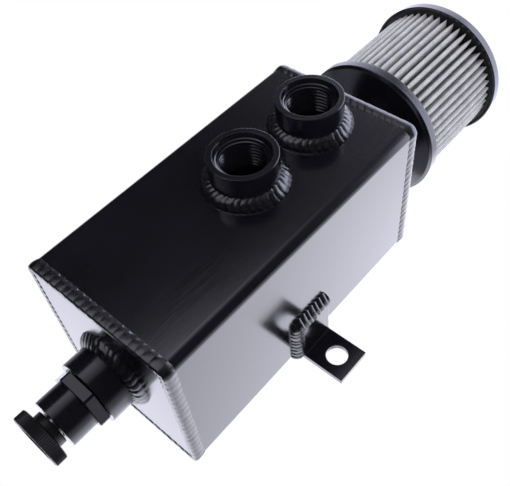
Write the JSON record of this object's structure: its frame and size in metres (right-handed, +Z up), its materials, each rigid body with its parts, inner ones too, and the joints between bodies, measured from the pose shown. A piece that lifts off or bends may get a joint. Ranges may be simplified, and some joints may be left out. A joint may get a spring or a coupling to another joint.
{
  "type": "breather reservoir",
  "caption": "Upright square welded aluminium oil reservoir with two threaded hose ports, a pleated breather filter on top and a knob-operated drain valve below, held by two side brackets.",
  "frame": {"origin": "midway between the centres of the two bracket holes, on the plane of the brackets' back faces", "axes": "+Z up along the tank from the drain to the filter, -Y out of the front face that carries the hose ports, +Y towards the wall it is bolted to"},
  "size_m": [0.13, 0.0964, 0.2875],
  "materials": {
    "black_anodised": "glossy black anodised",
    "weld_bead": "rippled weld, black anodised",
    "plain_aluminium": "machined",
    "steel": "turned",
    "gauze": "fine woven gauze, pleated",
    "perforated_steel": "perforated sheet",
    "rubber": "matt black",
    "resin": "cast"
  },
  "bodies": {
    "tank": {"tank_shell": "black_anodised", "drain_end_plate": "black_anodised", "filter_end_plate": "black_anodised", "drain_end_weld": "weld_bead", "filter_end_weld": "weld_bead", "baffle_plate": "plain_aluminium", "port_lower": "black_anodised", "port_lower_weld": "weld_bead", "port_upper": "black_anodised", "port_upper_weld": "weld_bead", "drain_bung": "black_anodised", "drain_bung_weld": "weld_bead", "filter_bung": "black_anodised", "filter_bung_weld": "weld_bead", "bracket_right": "black_anodised", "bracket_right_weld": "weld_bead", "bracket_left": "black_anodised", "bracket_left_weld": "weld_bead", "drain_valve_body": "black_anodised", "drain_port_oring": "rubber"},
    "filter_seal": {"filter_oring": "rubber"},
    "breather_filter": {"filter_base_cap": "black_anodised", "filter_stud": "plain_aluminium", "filter_bond_base": "resin", "filter_bond_top": "resin", "filter_media": "gauze", "filter_core": "perforated_steel", "filter_top_cap": "black_anodised"},
    "drain_seal": {"drain_seal_pad": "rubber"},
    "drain_handle": {"drain_stem": "steel", "drain_knob": "black_anodised", "drain_stem_oring": "rubber"}
  },
  "joints": [
    {"name": "filter_lift", "type": "slide", "parent": "tank", "child": "filter_seal", "axis": [0, 0, 1], "range_m": [0, 0.0145]},
    {"name": "filter_turn", "type": "hinge", "parent": "filter_seal", "child": "breather_filter", "pos_m": [0, -0.0414, 0.1], "axis": [0, 0, 1], "range_deg": [0, 2880]},
    {"name": "drain_travel", "type": "slide", "parent": "tank", "child": "drain_seal", "axis": [0, 0, -1], "range_m": [0, 0.00375]},
    {"name": "drain_turn", "type": "hinge", "parent": "drain_seal", "child": "drain_handle", "pos_m": [0, -0.0414, -0.119], "axis": [0, 0, -1], "range_deg": [0, 1080]}
  ],
  "couplings": [
    {"joint": "filter_lift", "follows": "filter_turn", "m_per_rad": 0.00028846},
    {"joint": "drain_turn", "follows": "drain_travel", "rad_per_m": 5026.5}
  ]
}
